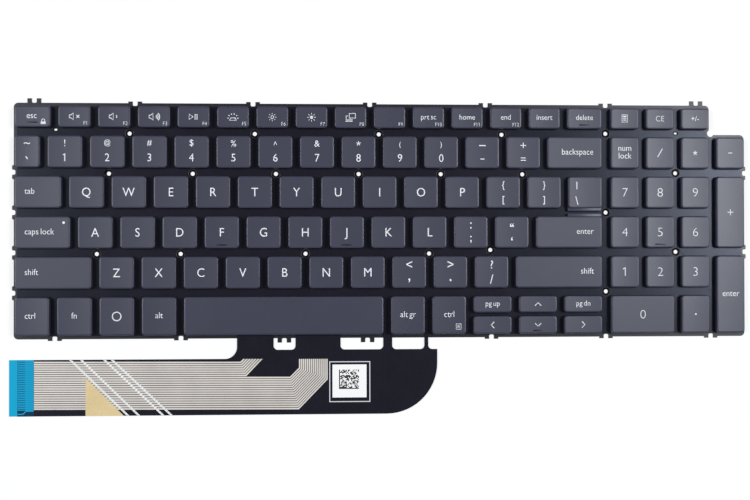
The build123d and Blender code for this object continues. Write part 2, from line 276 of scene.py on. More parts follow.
black_film = grained("black_film", (0.012, 0.0118, 0.0185), 0.35, 900, 0.25, 0.05, 0.006 * mm,
                     Specular_IOR_Level=0.22, Specular_Tint=(0.76, 0.82, 1.0, 1))
# Painted highlight: the grey of the rounded hole edges stands in for the light that they catch.
punched_edge = grained("punched_edge", (0.07, 0.07, 0.075), 0.2, 3000, 0.5, 0.1, 0.004 * mm)
# Painted shade: the near-black, barely glossy hole walls stand in for the shade in the recess round each
# rivet.
pressed_film = grained("pressed_film", (0.004, 0.004, 0.006), 0.2, 900, 0.6, 0.1, 0.004 * mm,
                       Specular_IOR_Level=0.05)
film = copy_of_node("membrane_sheet", "film")
choose(lambda e: upright(e) and creased(e, 55, 65), "EDGE")
hole_corners = [middle(e) for e in bmesh.from_edit_mesh(film.data).edges if e.select]
bpy.ops.mesh.bevel(offset=HOLE_CORNER_ROUND, segments=4, affect="EDGES")


def at_hole(item):
    place = item.co if hasattr(item, "co") else middle(item)
    return any((place - corner).xy.length < HOLE_CORNER_REACH for corner in hole_corners)


def press_down_holes(form):
    """Draws the foot of each hole in towards its middle, so that its wall slopes down to the plate."""
    for vert in form.verts:
        if vert.co.z < FILM_FOOT + NEAR and at_hole(vert):
            ring = [corner.xy for corner in hole_corners if (corner - vert.co).xy.length < HOLE_SPAN]
            centre = sum(ring[1:], ring[0]) / len(ring)
            vert.co.xy = centre + HOLE_FOOT_SHARE * (vert.co.xy - centre)
    form.normal_update()


def film_rim(edge):
    return creased(edge, 60) and not upright(edge) and middle(edge).z > FILM_TOP - NEAR


bevel(lambda e: film_rim(e) and not at_hole(e), FILM_EDGE_ROUND)
bevel(lambda e: film_rim(e) and at_hole(e), HOLE_RIM)
# The rounded top edges of the holes take the painted highlight, the walls below them the painted shade.
choose(lambda f: 0.1 < f.normal.z < 0.98 and at_hole(f))
for face in bmesh.from_edit_mesh(film.data).faces:
    face.material_index = int(face.select)
choose(lambda f: FILM_FOOT + 2 * NEAR < middle(f).z < FILM_TOP - HOLE_RIM and at_hole(f))
for face in bmesh.from_edit_mesh(film.data).faces:
    face.material_index += 2 * int(face.select)
press_down_holes(bmesh.from_edit_mesh(film.data))
narrow_holes(*FILM_HALF_HOLE)
finish_piece(film, "base", "black_film", black_film, punched_edge, pressed_film, smooth=10)
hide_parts("membrane_sheet")

# Silver traces
# The circuit lines screened on the tail in silver paste: straight from the connector end, then
# turned up the neck in two groups. Each line is a ribbon that is given the print's thickness.
PRINT_THICKNESS = 0.02 * mm
UPPER_LINES = [
    [(-156.9, -62.95), (-156.9, -69.78)],
    [(-65.06, -63.47), (-62.33, -70.28)],
    [(-63.85, -62.25), (-54.7, -62.25)],
]
LOWER_LINES = [
    [(-156.9, -69.78), (-156.9, -84.74)],
    [(-42.77, -70.38), (-38.74, -85.42)],
    [(-38.71, -66.29), (-25.5, -71.75)],
    [(-38.71, -62.40), (-25.5, -62.40)],
]
UPPER_COUNT = 7
LOWER_COUNT = 15
TRACE_SHARE = 0.7


def ribbon(name, rungs, z):
    """A flat strip whose cross lines are given in millimetres, left in edit mode."""
    bpy.ops.mesh.primitive_plane_add(size=mm)
    strip = bpy.context.object
    strip.name = strip.data.name = name
    bpy.ops.object.mode_set(mode="EDIT")
    for turn in range(len(rungs) - 2):
        front = max(v.co.x for v in bmesh.from_edit_mesh(strip.data).verts)
        choose(lambda e: all(v.co.x > front - 0.1 * mm for v in e.verts), "EDGE")
        extrude(mm, 0, 0)
    form = bmesh.from_edit_mesh(strip.data)
    for vert in form.verts:
        rung = rungs[round(vert.co.x / mm + 0.5)]
        x, y = rung[0] if vert.co.y > 0 else rung[1]
        vert.co = (x * mm, y * mm, z)
    bmesh.update_edit_mesh(strip.data)
    return strip


silver_paste = grained("silver_paste", (0.76, 0.70, 0.64), 0.25, 5000, 0.45, 0.2, 0.01 * mm, Metallic=0.15)


def printed(strip, ink, slot, thickness=PRINT_THICKNESS):
    """Gives a flat print its thickness and lays it on the film."""
    if strip.mode == "EDIT":
        bpy.ops.object.mode_set(mode="OBJECT")
    only(strip)
    shell = strip.modifiers.new("thickness", "SOLIDIFY")
    shell.thickness = thickness
    shell.offset = 1
    bpy.ops.object.modifier_apply(modifier="thickness")
    finish_piece(strip, "base", slot, ink)


def joined(pieces, name=None):
    """One piece made of several, renamed if a name is given."""
    only(*pieces)
    if len(pieces) > 1:
        bpy.ops.object.join()
    piece = bpy.context.object
    if name:
        piece.name = piece.data.name = name
    return piece


def between(rung, share):
    """The point at a share of the way along a cross line."""
    return tuple(a + (b - a) * share for a, b in zip(*rung))


def trace_group(name, rungs, lines):
    """One ribbon per line, each between two shares of the group's width, joined into one piece."""
    strips = []
    for line in range(lines):
        near, far = line / lines, (line + TRACE_SHARE) / lines
        slit = [[between(rung, near), between(rung, far)] for rung in rungs]
        strips.append(ribbon(f"{name}_{line}", slit, FILM_TOP))
        bpy.ops.object.mode_set(mode="OBJECT")
    return joined(strips, name)


printed(trace_group("upper_traces", UPPER_LINES, UPPER_COUNT), silver_paste, None)
printed(trace_group("lower_traces", LOWER_LINES, LOWER_COUNT), silver_paste, None)

# White cross lines
# Four slanting marks screened across the traces in white, each a close row of short dashes.
CROSS_LINE_WIDTH = 1.25
CROSS_LINE_ENDS = (-62.3, -87.3)
CROSS_LINES = [(-141.4, -115.9), (-136.6, -111.1), (-126.4, -100.3), (-123.0, -96.6)]
DASHES_PER_METRE = 690
DASH_TURN = math.radians(45)
DASH_GAP_SHARE = 0.25


def banded(name, light, dark, per_metre, turn, share, **constants):
    """A material with even bands across a piece, dark in the given share of each step."""
    finish = grained(name, light, 0.15, 4000, 0.45, 0.1, 0.01 * mm, **constants)
    tree = finish.node_tree
    nodes, links = tree.nodes, tree.links
    place = nodes.new("ShaderNodeTexCoord")
    lay = nodes.new("ShaderNodeMapping")
    fill(lay, Rotation=(0, 0, turn), Scale=(per_metre, per_metre, per_metre))
    split = nodes.new("ShaderNodeSeparateXYZ")
    links.new(place.outputs["Object"], lay.inputs["Vector"])
    links.new(lay.outputs["Vector"], split.inputs[0])
    step = math_node(tree, "FRACT", split.outputs["X"])
    mix = nodes.new("ShaderNodeMix")
    mix.data_type = "RGBA"
    grained_in, band_in, mixed_out = mix.inputs[6], mix.inputs[7], mix.outputs[2]
    band_in.default_value = (*dark, 1)
    links.new(math_node(tree, "LESS_THAN", step, share), mix.inputs[0])
    links.new(nodes["grain"].outputs["Colour"], grained_in)
    links.new(mixed_out, nodes["Principled BSDF"].inputs["Base Color"])
    return finish


white_ink = banded("white_ink", (0.90, 0.90, 0.89), (0.60, 0.59, 0.57), DASHES_PER_METRE,
                   DASH_TURN, DASH_GAP_SHARE)
for order, (back_x, front_x) in enumerate(CROSS_LINES):
    edges = [[(x, y), (x + CROSS_LINE_WIDTH, y)] for x, y in zip((back_x, front_x), CROSS_LINE_ENDS)]
    mark = ribbon(f"cross_line_{order + 1}", edges, FILM_TOP + 1.5 * PRINT_THICKNESS)
    printed(mark, white_ink, None)

# Tail stiffener
# A blue polyester strip laminated to the connector end, so that the tail can be pushed into its socket.
# A thin blue cover carries it over the first of the traces, which show through as dark lines.
STIFFENER_EDGE_ROUND = 0.05 * mm
COVER_THICKNESS = 0.05 * mm
LINED_COVER_BOX = (-164.2, -84.75, -160.8, -62.2)
PLAIN_COVER_BOX = (-160.8, -84.75, -157.0, -62.2)
COVER_FOOT_BOX = (-164.2, -87.4, -157.0, -84.75)
FOOT_LINE = [
    [(-164.1, -86.15), (-164.1, -86.60)],
    [(-161.9, -86.15), (-161.7, -86.60)],
    [(-160.4, -84.75), (-160.2, -85.20)],
    [(-157.1, -84.75), (-157.1, -85.20)],
]
STRIPES_PER_METRE = 1350
STRIPE_SHARE = 0.4
LINES_PER_METRE = 1000
LINE_TURN = math.radians(90)
LINE_SHARE = 0.33

bright_blue, cover_blue = (0.003, 0.44, 0.72), (0.003, 0.36, 0.62)
matt = {"Specular_IOR_Level": 0.12}
# Stripes in colour only, darker in a share of each step; no ridges are modelled.
ridged_blue = banded("ridged_blue", bright_blue, (0.003, 0.36, 0.60), STRIPES_PER_METRE, 0, STRIPE_SHARE,
                     **matt)
stiffener = copy_of_node("tail_stiffener", "stiffener")
bevel(lambda e: creased(e, 60), STIFFENER_EDGE_ROUND)
finish_piece(stiffener, "base", "blue_stiffener", ridged_blue, smooth=10)
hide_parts("tail_stiffener")


def flat_patch(name, x0, y0, x1, y1, z):
    return ribbon(name, [[(x0, y1), (x0, y0)], [(x1, y1), (x1, y0)]], z)


bands = (LINES_PER_METRE, LINE_TURN, LINE_SHARE)
lined_blue = banded("lined_blue", cover_blue, (0.003, 0.10, 0.20), *bands, **matt)
plain_blue = banded("plain_blue", cover_blue, (0.003, 0.30, 0.53), *bands, **matt)
dark_blue = grained("dark_blue", (0.003, 0.035, 0.085), 0.2, 1500, 0.5, 0.1, 0.01 * mm, **matt)
covers = [("lined", LINED_COVER_BOX, lined_blue), ("plain", PLAIN_COVER_BOX, plain_blue),
          ("foot", COVER_FOOT_BOX, dark_blue)]
for part, place, finish in covers:
    patch = flat_patch(f"stiffener_cover_{part}", *place, FILM_TOP)
    printed(patch, finish, "blue_stiffener", COVER_THICKNESS)
printed(ribbon("stiffener_foot_line", FOOT_LINE, FILM_TOP + COVER_THICKNESS), ridged_blue, "blue_stiffener")

# Adhesive pad
# A triangle of double-sided tape under beige backing paper, stuck to the lower edge of the tail.
beige_paper = grained("beige_paper", (0.78, 0.61, 0.32), 0.3, 1200, 0.75, 0.1, 0.02 * mm)
pad = copy_of_node("adhesive_pad", "pad")
finish_piece(pad, "base", "beige_tape", beige_paper)
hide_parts("adhesive_pad")

# Code label
# A square of white coated paper stuck on the tail inside a thin printed frame.
# A block code is printed on the paper: made-up cells between two solid edges.
FRAME_LINE = 0.4
FRAME_BOX = (-25.03, -81.97, -6.5, -63.57)
CODE_BOX = (-20.65, -76.05, -11.61, -67.31)
CODE_CELLS = 18
CODE_SEED = 5
CODE_BLANK_SHARE = 0.5

label_paper = grained("label_paper", (1.0, 0.995, 0.98), 0.02, 2500, 0.6, 0.1, 0.01 * mm)
label = copy_of_node("code_label", "label")
finish_piece(label, "base", "label_paper", label_paper)
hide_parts("code_label")
left, front, right, back = FRAME_BOX
sides = [(left, front, right, front + FRAME_LINE), (left, back - FRAME_LINE, right, back),
         (left, front + FRAME_LINE, left + FRAME_LINE, back - FRAME_LINE),
         (right - FRAME_LINE, front + FRAME_LINE, right, back - FRAME_LINE)]
strips = []
for side in sides:
    strips.append(flat_patch("label_frame", *side, FILM_TOP))
    bpy.ops.object.mode_set(mode="OBJECT")
frame_ink = grained("frame_ink", (0.72, 0.74, 0.78), 0.1, 4000, 0.5, 0.1, 0.01 * mm)
printed(joined(strips), frame_ink, None)

left, front, right, back = [edge * mm for edge in CODE_BOX]
bpy.ops.mesh.primitive_grid_add(x_subdivisions=CODE_CELLS, y_subdivisions=CODE_CELLS, size=1)
code = bpy.context.object
code.name = code.data.name = "label_code"
code.scale = (right - left, back - front, 1)
code.location = ((left + right) / 2, (front + back) / 2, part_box("code_label")[1].z)
bpy.ops.object.transform_apply()
bpy.ops.object.mode_set(mode="EDIT")
chance = random.Random(CODE_SEED)
cell_x, cell_y = (right - left) / CODE_CELLS, (back - front) / CODE_CELLS
choose(lambda f: middle(f).x > left + cell_x and middle(f).y > front + cell_y
       and chance.random() < CODE_BLANK_SHARE)
bpy.ops.mesh.delete(type="FACE")
black_ink = grained("black_ink", (0.012, 0.012, 0.013), 0.2, 4000, 0.55, 0.1, 0.01 * mm)
printed(code, black_ink, None, PRINT_THICKNESS / 2)

# Key places
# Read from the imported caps: the sprung keys are nodes of their own, the others are solids of four groups.
CAP_DRAFT = 0.35 * mm
LEDGE_REACH = 1.0 * mm
ROW_STEP = 5 * mm
SPRUNG = [*"1234567890", "backspace", "tab", *"qwertyuiop", "caps_lock", *"asdfghjkl", "enter",
          "left_shift", *"zxcvbnm", "right_shift", "left_ctrl", "left_alt", "space", "alt_gr"]
GROUPED = {
    "function_row_caps": ["esc", *(f"f{n}" for n in range(1, 13)), "insert", "delete", "calculator",
                          "clear_entry", "plus_minus"],
    "symbol_caps": ["backquote", "minus", "equals", "left_bracket", "right_bracket", "backslash", "semicolon",
                    "quote", "comma", "period", "slash", "fn", "system", "right_ctrl"],
    "navigation_caps": ["page_up", "arrow_up", "page_down", "arrow_left", "arrow_down", "arrow_right"],
    "keypad_caps": ["num_lock", "pad_divide", "pad_multiply", "pad_minus", "pad_7", "pad_8", "pad_9",
                    "pad_plus", "pad_4", "pad_5", "pad_6", "pad_1", "pad_2", "pad_3", "pad_enter",
                    "pad_0", "pad_point"],
}


def solid_boxes(node):
    """Boxes of a node's separate solids, from the back row to the front and left to right."""
    clump = copy_of_node(node, "clump")
    bpy.ops.mesh.select_all(action="SELECT")
    bpy.ops.mesh.separate(type="LOOSE")
    bpy.ops.object.mode_set(mode="OBJECT")
    boxes = []
    for part in bpy.context.selected_objects:
        xs = [v.co.x for v in part.data.vertices]
        ys = [v.co.y for v in part.data.vertices]
        boxes.append((min(xs), min(ys), max(xs), max(ys)))
    bpy.ops.object.delete()
    return sorted(boxes, key=lambda box: (-round(box[3] / ROW_STEP), box[0]))


cap_tops = {}
for name in SPRUNG:
    low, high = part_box(f"key_{name}")
    cap_tops[name] = [low.x, low.y, high.x, high.y]
for node, names in GROUPED.items():
    cap_tops.update(zip(names, map(list, solid_boxes(node))))
cap_tops["enter"][3] -= LEDGE_REACH
cap_tops["backslash"][1] += LEDGE_REACH
for name, (x0, y0, x1, y1) in cap_tops.items():
    cap_tops[name] = (x0 + CAP_DRAFT, y0 + CAP_DRAFT, x1 - CAP_DRAFT, y1 - CAP_DRAFT)

# Rubber domes
# One silicone dome under each cap, standing on the film: it gives the key its snap and lifts it back.
# A round foot, a wall that leans in and a dimpled crown.
ROOF_UNDERSIDE = 3.5 * mm
DOME_SIDES = 12
DOME_FOOT_RADIUS = 2.7 * mm
DOME_FOOT_HEIGHT = 0.22 * mm
DOME_HEIGHT = 2.62 * mm
DOME_FLANGE = 0.3 * mm
DOME_WALL_SHARE = 0.8
DOME_NECK_SHARE = 0.76
DOME_CROWN_SHARE = 0.84
DIMPLE_INSET = 0.5 * mm
DIMPLE_DEPTH = 0.2 * mm
LOW_KEY_DEPTH = 10 * mm
LOW_KEY_SHARE = 0.8


def drum(sides, radius, x, y, z0, z1):
    """An upright cylinder between two heights, left in edit mode."""
    bpy.ops.mesh.primitive_cylinder_add(vertices=sides, radius=radius, depth=z1 - z0,
                                        location=(x, y, (z0 + z1) / 2))
    bpy.ops.object.transform_apply()
    bpy.ops.object.mode_set(mode="EDIT")
    return bpy.context.object


def model_dome():
    dome = drum(DOME_SIDES, DOME_FOOT_RADIUS, 0, 0, FILM_TOP, FILM_TOP + DOME_FOOT_HEIGHT)
    choose(lambda f: f.normal.z > 0.9)
    bpy.ops.mesh.inset(thickness=DOME_FLANGE)
    rise = DOME_WALL_SHARE * (DOME_HEIGHT - DOME_FOOT_HEIGHT)
    extrude(0, 0, rise)
    neck = (0, 0, FILM_TOP + DOME_FOOT_HEIGHT + rise)
    bpy.ops.transform.resize(value=(DOME_NECK_SHARE, DOME_NECK_SHARE, 1), center_override=neck)
    rest = DOME_HEIGHT - DOME_FOOT_HEIGHT - rise
    extrude(0, 0, rest)
    crown = (0, 0, FILM_TOP + DOME_HEIGHT)
    bpy.ops.transform.resize(value=(DOME_CROWN_SHARE, DOME_CROWN_SHARE, 1), center_override=crown)
    bpy.ops.mesh.inset(thickness=DIMPLE_INSET)
    bpy.ops.transform.translate(value=(0, 0, -DIMPLE_DEPTH))
    bpy.ops.object.mode_set(mode="OBJECT")
    return dome


def copy_to(model, name, x, y, share_x=1, share_y=1):
    """A copy of a modelled piece with its own mesh, set at a key's middle."""
    piece = model.copy()
    piece.data = model.data.copy()
    piece.name = piece.data.name = name
    bpy.context.scene.collection.objects.link(piece)
    piece.location = (x, y, 0)
    piece.scale = (share_x, share_y, 1)
    return piece


def settle(pieces):
    """Applies the places of copies, so that each is at the origin, unturned and unscaled."""
    only(*pieces)
    bpy.ops.object.transform_apply()


def drop(*models):
    """Deletes models that have been copied."""
    only(*models)
    bpy.ops.object.delete()


def key_middle(name):
    x0, y0, x1, y1 = cap_tops[name]
    return (x0 + x1) / 2, (y0 + y1) / 2


def key_size(name):
    x0, y0, x1, y1 = cap_tops[name]
    return x1 - x0, y1 - y0


def under_keys(pieces, kind, nodes):
    """Each piece under a sprung key stays a piece of its own on the base; the others become one piece."""
    settle(pieces.values())
    for name in SPRUNG:
        if name in pieces:
            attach(pieces[name], "base")
            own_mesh(pieces[name])
            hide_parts(*nodes)
    group = joined([piece for name, piece in pieces.items() if name not in SPRUNG], f"{kind}_still")
    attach(group, "base")
    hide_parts(*nodes)


silicone = grained("silicone", (0.50, 0.50, 0.51), 0.15, 2500, 0.6, 0.1, 0.01 * mm)
dome_model = model_dome()
coated(dome_model, silicone)
domes = {}
for name in cap_tops:
    share = LOW_KEY_SHARE if key_size(name)[1] < LOW_KEY_DEPTH else 1
    domes[name] = copy_to(dome_model, f"dome_{name}", *key_middle(name), share, share)
under_keys(domes, "domes", ["rubber_domes"])
drop(dome_model)

# Scissor links
# Under each cap, an outer and an inner yoke moulded in black plastic and crossed at their pivots,
# which keep the cap level as it goes down.
LINK_LENGTH = 9.6 * mm
LINK_WIDTH = 10.6 * mm
LINK_THICKNESS = 0.62 * mm
LINK_ARM = 1.1 * mm
LINK_BAR = 1.3 * mm
LINK_CORNER = 0.3 * mm
LINK_SIDE_CLEARANCE = 0.25 * mm
LINK_TILT = math.radians(11.5)
LINK_MIDDLE = (FILM_TOP + ROOF_UNDERSIDE) / 2
LINK_CAP_CLEARANCE = 2.4 * mm


def block(centre, size):
    """A box of a size about its centre, left in edit mode."""
    bpy.ops.mesh.primitive_cube_add(size=1, location=centre, scale=size)
    bpy.ops.object.transform_apply()
    bpy.ops.object.mode_set(mode="EDIT")
    return bpy.context.object


def model_yoke(width, turn):
    """A flat yoke that is open to the back, tilted so that its open end is up, then turned about."""
    yoke = block((0, (LINK_BAR - LINK_LENGTH) / 2, 0), (width, LINK_BAR, LINK_THICKNESS))
    arm_x = width / 2 - LINK_ARM
    for side in (-arm_x, arm_x):
        bpy.ops.mesh.select_all(action="SELECT")
        bpy.ops.mesh.bisect(plane_co=(side, 0, 0), plane_no=(1, 0, 0))
    choose(lambda f: f.normal.y > 0.9 and abs(middle(f).x) > arm_x)
    extrude(0, LINK_LENGTH - LINK_BAR, 0)
    bevel(lambda e: upright(e) and creased(e, 80), LINK_CORNER, 1)
    bpy.ops.object.mode_set(mode="OBJECT")
    yoke.rotation_euler = (LINK_TILT, 0, 0)
    bpy.ops.object.transform_apply()
    yoke.rotation_euler = (0, 0, turn)
    yoke.location = (0, 0, LINK_MIDDLE)
    bpy.ops.object.transform_apply()
    return yoke


black_moulding = grained("black_moulding", (0.03, 0.03, 0.031), 0.3, 2500, 0.45, 0.15, 0.01 * mm)
outer_model = model_yoke(LINK_WIDTH, 0)
inner_model = model_yoke(LINK_WIDTH - 2 * LINK_ARM - 2 * LINK_SIDE_CLEARANCE, math.pi)
pair_model = joined([outer_model, inner_model])
coated(pair_model, black_moulding)
pairs = {}
for name in cap_tops:
    wide, deep = key_size(name)
    share_x = min(1, (wide - LINK_CAP_CLEARANCE) / LINK_WIDTH)
    share_y = min(1, (deep - LINK_CAP_CLEARANCE) / LINK_LENGTH)
    pairs[name] = copy_to(pair_model, f"links_{name}", *key_middle(name), share_x, share_y)
under_keys(pairs, "links", ["outer_scissor_links", "inner_scissor_links"])
drop(pair_model)

# Stabiliser wires
# Bright steel wire bent to a wide U under each wide cap: the bar is clipped under the cap's front edge
# and the feet turn in hooks on the plate.
WIRE_RADIUS = 0.32 * mm
WIRE_END_INSET = 3.0 * mm
WIRE_FRONT_INSET = 1.75 * mm
WIRE_LENGTH = 8.0 * mm
WIRE_BEND = 1.2 * mm
WIRE_CAP_GAP = 0.1 * mm
WIRE_FILM_GAP = 0.05 * mm
WIRED = ["backspace", "caps_lock", "enter", "left_shift", "right_shift", "space", "pad_0"]


def run_spline(curve, kind, points):
    """A new spline of a curve through points in space, or in the curve's own plane."""
    spline = curve.splines.new(kind)
    spline.points.add(len(points) - 1)
    for point, place in zip(spline.points, points):
        point.co = (*place, 1) if len(place) == 3 else (*place, 0, 1)
    return spline


def bent_wire(name):
    x0, y0, x1, _ = cap_tops[name]
    left, right = x0 + WIRE_END_INSET, x1 - WIRE_END_INSET
    bar_y, foot_y = y0 + WIRE_FRONT_INSET, y0 + WIRE_FRONT_INSET + WIRE_LENGTH
    bar_z, foot_z = ROOF_UNDERSIDE - WIRE_CAP_GAP - WIRE_RADIUS, FILM_TOP + WIRE_FILM_GAP + WIRE_RADIUS
    knee = WIRE_BEND / WIRE_LENGTH
    knee_y, knee_z = bar_y + knee * (foot_y - bar_y), bar_z + knee * (foot_z - bar_z)
    route = [(left, foot_y, foot_z), (left, knee_y, knee_z), (left, bar_y, bar_z),
             (left + WIRE_BEND, bar_y, bar_z)]
    route += [(left + right - x, y, z) for x, y, z in reversed(route)]
    line = bpy.data.curves.new(f"wire_{name}", "CURVE")
    line.dimensions = "3D"
    line.bevel_depth = WIRE_RADIUS
    line.bevel_resolution = 2
    line.use_fill_caps = True
    spline = run_spline(line, "NURBS", route)
    spline.order_u = 3
    spline.use_endpoint_u = True
    spline.resolution_u = 4
    only(new_object(f"wire_{name}", line))
    bpy.ops.object.convert(target="MESH")
    return bpy.context.object


drawn_steel = grained("drawn_steel", (0.55, 0.55, 0.56), 0.15, 4000, 0.3, 0.15, 0.005 * mm, Metallic=1)
wires = {name: bent_wire(name) for name in WIRED}
for wire in wires.values():
    coated(wire, drawn_steel)
under_keys(wires, "wires", ["stabiliser_wires"])

# Key caps
# Moulded plastic caps with a fine satin coating: a top with a slight dish and a shallow chamfer round it,
# rounded corners, drafted sides and a hollow underside that clips on to the links.
CAP_TOP = 4.38 * mm
DISH_DEPTH = 0.16 * mm
DISH_CUTS = (-0.67, -0.33, 0, 0.33, 0.67)
SKIRT = 2.4 * mm
CAP_CORNER = 1.35 * mm
CAP_EDGE = 0.25 * mm
CAP_CHAMFER_WIDTH = 0.34 * mm
CAP_CHAMFER_DROP = 0.1 * mm
CAP_EDGE_SUPPORT = 0.05 * mm
CAP_FLARE = 0.18 * mm
CAP_WALL = 0.9 * mm
LEDGE_THICKNESS = 0.8 * mm
LEDGE_ROUND = 0.15 * mm
BAR_LENGTH = 4.8 * mm
BAR_WIDTH = 0.6 * mm
BAR_RISE = 0.09 * mm
BAR_SINK = 0.3 * mm
BAR_ROUND = 0.1 * mm
BARRED = {"f": -5.7, "j": -5.7, "pad_5": -5.6, "esc": -2.65, "delete": -3.05, "arrow_down": -2.6}


def model_cap(wide, deep):
    foot_wide, foot_deep = wide + 2 * CAP_FLARE, deep + 2 * CAP_FLARE
    rim = CAP_TOP - CAP_CHAMFER_DROP
    cap = block((0, 0, (SKIRT + rim) / 2), (foot_wide, foot_deep, rim - SKIRT))
    bevel(upright, CAP_CORNER, 4)
    choose(lambda f: f.normal.z > 0.9)
    bpy.ops.transform.resize(value=(wide / foot_wide, deep / foot_deep, 1), center_override=(0, 0, rim))
    bpy.ops.mesh.bevel(offset=CAP_EDGE, segments=3, affect="EDGES")
    choose(lambda f: f.normal.z > 0.99)
    bpy.ops.mesh.inset(thickness=CAP_CHAMFER_WIDTH)
    bpy.ops.transform.translate(value=(0, 0, CAP_CHAMFER_DROP))
    bpy.ops.mesh.inset(thickness=CAP_EDGE_SUPPORT)
    for share in DISH_CUTS:
        choose(lambda f: middle(f).z > rim - CAP_EDGE)
        bpy.ops.mesh.bisect(plane_co=(share * wide / 2, 0, 0), plane_no=(1, 0, 0))
    choose(lambda f: f.normal.z < -0.9)
    bpy.ops.mesh.inset(thickness=CAP_WALL + CAP_FLARE)
    extrude(0, 0, ROOF_UNDERSIDE - SKIRT)
    bpy.ops.object.mode_set(mode="OBJECT")
    return cap


def rounded_bar(x0, y0, x1, y1, z0, z1, rounding):
    """A block with rounded upper edges, for a tactile bar or a flange."""
    bar = block(((x0 + x1) / 2, (y0 + y1) / 2, (z0 + z1) / 2), (x1 - x0, y1 - y0, z1 - z0))
    bevel(lambda e: creased(e, 60) and middle(e).z > z0 + 0.1 * (z1 - z0), rounding)
    bpy.ops.object.mode_set(mode="OBJECT")
    return bar


cap_coating = grained("cap_coating", (0.037, 0.039, 0.068), 0.10, 6000, 0.40, 0.04, 0.001 * mm)
# Painted shade: the tactile bars are moulded in the caps' own plastic, and their darker colour stands in for
# the shade that they show.
bar_polish = grained("bar_polish", (0.020, 0.021, 0.034), 0.10, 6000, 0.3, 0.04, 0.001 * mm,
                     Specular_IOR_Level=0.2)
cap_models = {}


def cap_of(name):
    size = tuple(round(side, 5) for side in key_size(name))
    if size not in cap_models:
        cap_models[size] = model_cap(*size)
        coated(cap_models[size], cap_coating, smooth=35)
    return copy_to(cap_models[size], f"cap_{name}", *key_middle(name))


def cap_extras(name):
    """Tactile bars, and the flanges on the two caps that share a stepped gap."""
    x0, y0, x1, y1 = cap_tops[name]
    extras = []
    if name in BARRED:
        x, y = key_middle(name)
        left, front = x - BAR_LENGTH / 2, y + BARRED[name] * mm - BAR_WIDTH / 2
        extras.append(rounded_bar(left, front, left + BAR_LENGTH, front + BAR_WIDTH,
                                  CAP_TOP - BAR_SINK, CAP_TOP + BAR_RISE, BAR_ROUND))
        # The bar takes the painted shade.
        coated(extras[-1], bar_polish)
    reach = CAP_DRAFT + LEDGE_REACH
    ledges = {"backslash": (x0, y0 - reach, x1, y0 + CAP_WALL / 2),
              "enter": (max(x0, cap_tops["backslash"][0]), y1 - CAP_WALL / 2, x1, y1 + reach)}
    if name in ledges:
        extras.append(rounded_bar(*ledges[name], SKIRT, SKIRT + LEDGE_THICKNESS, LEDGE_ROUND))
        coated(extras[-1], cap_coating)
    return extras


def press_dish(name):
    """Hollows the top of a cap across its width, with the legend and the bar that are on it."""
    half = key_size(name)[0] / 2
    for vert in caps[name].data.vertices:
        if vert.co.z > CAP_TOP - CAP_CHAMFER_DROP - CAP_EDGE - NEAR:
            share = min(1, abs(vert.co.x - key_middle(name)[0]) / half)
            vert.co.z -= DISH_DEPTH * (1 - share ** 2)


caps = {name: cap_of(name) for name in cap_tops}
settle(caps.values())

# Key legends
# Printed on the caps in white: letters, figures, words and small signs, all in one plain face.
# Signs are drawn with a flat pen; the typeface's figure one is a bare stem, so it gets its flag.
INK_THICKNESS = 0.012 * mm
CAPITAL_SHARE = 0.682
LOWER_CASE_SHARE = 0.449
FIGURE_STEP = 0.5
CAPITAL_F_STEP = 0.469
LETTER_HEIGHT = 3.85
FIGURE_HEIGHT = 3.45
PAD_FIGURE_HEIGHT = 4.0
TINY_HEIGHT = 1.6
WORD_HEIGHT = 1.74
SMALL_WORD_HEIGHT = 1.55
CLEAR_ENTRY_HEIGHT = 2.5
LETTER_SQUEEZE = 0.93
PAD_SQUEEZE = 1.05
WORD_SPACE = 0.65
THINNING = 0.02
TINY_THINNING = 0.03
CLEAR_ENTRY_THINNING = 0.06
PAD_THINNING = 0.12
# The figure one's flag and the place of its stem, in ems
FLAG = [(-0.13, 0.54), (0.03, 0.65)]
FLAG_WIDTH = 0.08
STEM_SHIFT = 0.215

legend_ink = grained("legend_ink", (0.90, 0.90, 0.92), 0.06, 5000, 0.5, 0.1, 0.003 * mm)
pens = {}


def pen(width):
    """A flat pen nib: the rectangle that a stroke is swept with, in the stroke's own unit."""
    if width not in pens:
        nib = bpy.data.curves.new("nib", "CURVE")
        half, height = width / 2, INK_THICKNESS
        spline = run_spline(nib, "POLY", [(-half, 0), (half, 0), (half, height), (-half, height)])
        spline.use_cyclic_u = True
        pens[width] = new_object("nib", nib)
    return pens[width]


def stroke(points, x, y, unit=mm, width=0.4, closed=False):
    """A pen stroke through points given in a unit, about a place on the cap."""
    line = bpy.data.curves.new("stroke", "CURVE")
    line.dimensions = "3D"
    line.twist_mode = "Z_UP"
    line.bevel_mode = "OBJECT"
    line.bevel_object = pen(width)
    line.use_fill_caps = not closed
    spline = run_spline(line, "POLY", points)
    spline.use_cyclic_u = closed
    mark = new_object("stroke", line)
    mark.location = (x, y, CAP_TOP)
    mark.scale = (unit, unit, 1)
    return mark


